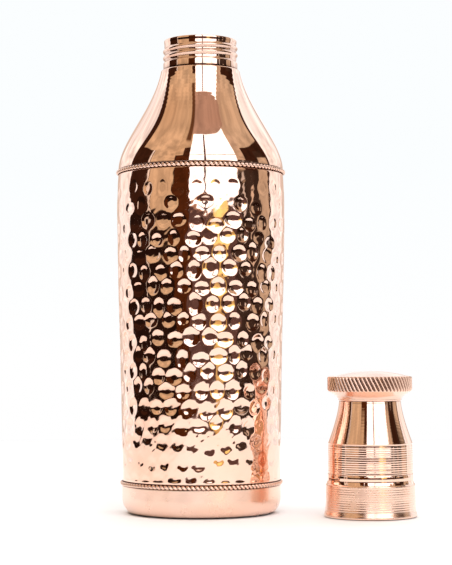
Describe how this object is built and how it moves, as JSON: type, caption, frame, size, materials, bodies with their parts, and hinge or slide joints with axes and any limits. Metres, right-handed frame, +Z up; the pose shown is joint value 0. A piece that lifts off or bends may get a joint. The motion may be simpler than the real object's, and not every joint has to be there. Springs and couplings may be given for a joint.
{
  "type": "copper water bottle",
  "caption": "Round copper bottle with a hammered body, rope rings, a threaded neck and a knurled screw cap standing beside it.",
  "frame": {"origin": "centre of the bottle's foot, on the surface the bottle stands on", "axes": "+Z up along the bottle's axis; the cap stands beside the bottle, mostly towards +X and a little towards -Y (the viewer)"},
  "size_m": [0.1325, 0.0792, 0.2134],
  "materials": {
    "hammered_copper": "hammered and polished copper",
    "polished_copper": "mirror-polished copper",
    "satin_copper": "satin copper",
    "rope_copper": "twisted copper wire with dark grooves",
    "turned_copper": "fine-turned copper",
    "inner_copper": "unpolished copper inside the cap",
    "silicone": "translucent white silicone"
  },
  "bodies": {
    "bottle": {"base_cup": "satin_copper", "body_shell": "hammered_copper", "shoulder_dome": "polished_copper", "neck_collar": "polished_copper", "lower_rope_ring": "rope_copper", "upper_rope_ring": "rope_copper"},
    "cap_seal": {"cap_gasket": "silicone"},
    "cap": {"cap_skirt": "turned_copper", "cap_thread_ring": "inner_copper", "cap_bell": "turned_copper", "cap_head": "satin_copper", "cap_seal_plate": "inner_copper"}
  },
  "joints": [
    {"name": "cap_lift", "type": "slide", "parent": "bottle", "child": "cap_seal", "axis": [0, 0, 1], "range_m": [0, 0.225]},
    {"name": "cap_turn", "type": "hinge", "parent": "cap_seal", "child": "cap", "pos_m": [0.07413, -0.02084, 0], "axis": [0, 0, 1], "continuous": true}
  ]
}
